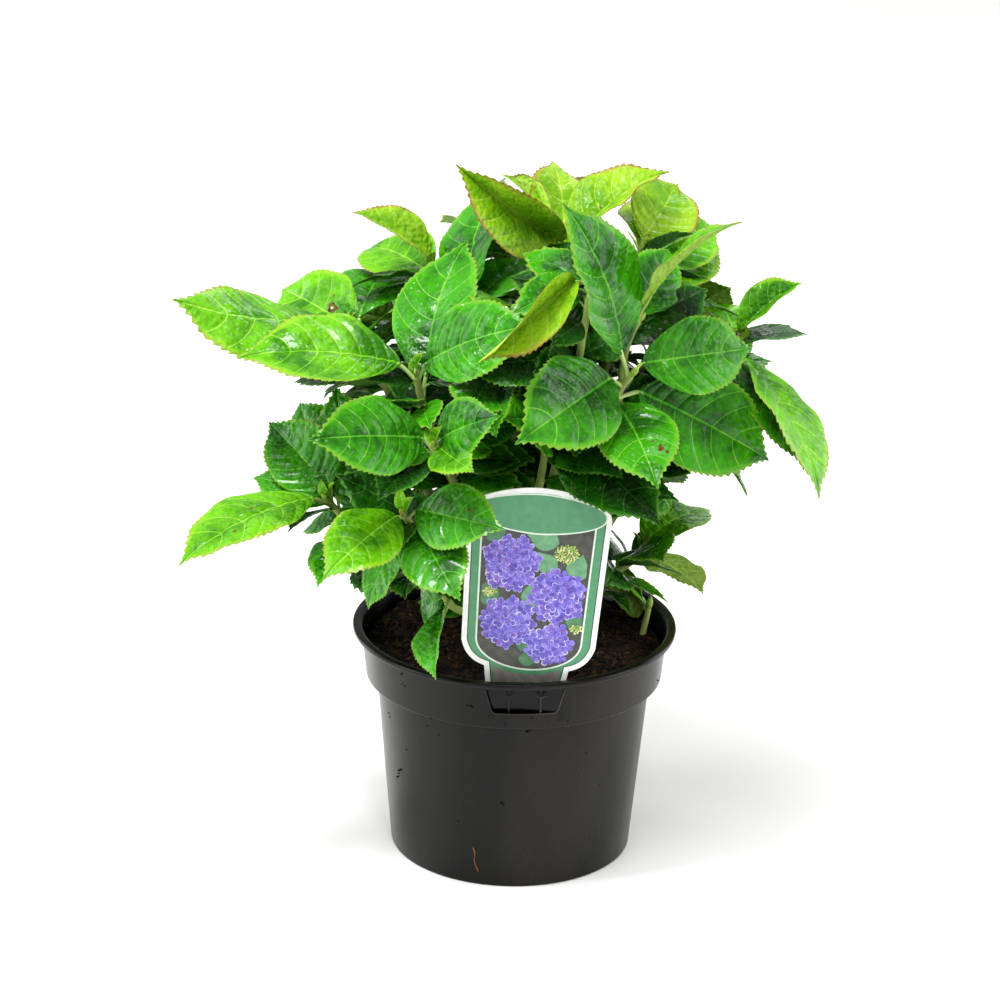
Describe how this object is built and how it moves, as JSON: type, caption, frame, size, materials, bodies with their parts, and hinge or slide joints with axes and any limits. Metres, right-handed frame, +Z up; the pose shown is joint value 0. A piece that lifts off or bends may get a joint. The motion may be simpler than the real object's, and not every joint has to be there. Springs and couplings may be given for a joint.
{
  "type": "potted hydrangea shrub",
  "caption": "Young leafy hydrangea shrub, not yet in bloom, in a dark round nursery pot filled with compost, with an arched plastic plant label at the front.",
  "frame": {"origin": "middle of the pot's flat underside", "axes": "+Z up, -Y towards the side the label faces, +X to the right as seen from that side"},
  "size_m": [0.3741, 0.3106, 0.4195],
  "materials": {
    "pot": "satin",
    "compost": "rough",
    "label": "gloss",
    "stems": "satin",
    "leaves": "gloss"
  },
  "bodies": {
    "root": {"basal_shoot": "leaves", "bough_back_centre": "stems", "bough_back_left": "stems", "bough_back_right": "stems", "bough_centre": "stems", "bough_inner_front": "stems", "bough_inner_left": "stems", "bough_inner_low": "stems", "bough_left_back": "stems", "bough_left_front": "stems", "bough_left_outer": "stems", "bough_low_back_left": "stems", "bough_low_back_right": "stems", "bough_low_front": "stems", "bough_low_left": "stems", "bough_right_front": "stems", "bough_right_low": "stems", "bough_right_outer": "stems", "bough_top_back": "stems", "bough_top_centre": "stems", "bough_top_left": "stems", "bough_top_right": "stems", "compost": "compost", "crown": "stems", "foliage_back_centre": "leaves", "foliage_back_left": "leaves", "foliage_back_right": "leaves", "foliage_centre": "leaves", "foliage_inner_front": "leaves", "foliage_inner_left": "leaves", "foliage_inner_low": "leaves", "foliage_left_back": "leaves", "foliage_left_front": "leaves", "foliage_left_outer": "leaves", "foliage_low_back_left": "leaves", "foliage_low_back_right": "leaves", "foliage_low_front": "leaves", "foliage_low_left": "leaves", "foliage_right_front": "leaves", "foliage_right_low": "leaves", "foliage_right_outer": "leaves", "foliage_top_back": "leaves", "foliage_top_centre": "leaves", "foliage_top_left": "leaves", "foliage_top_right": "leaves", "plant_label": "label", "pot": "pot"}
  },
  "joints": []
}
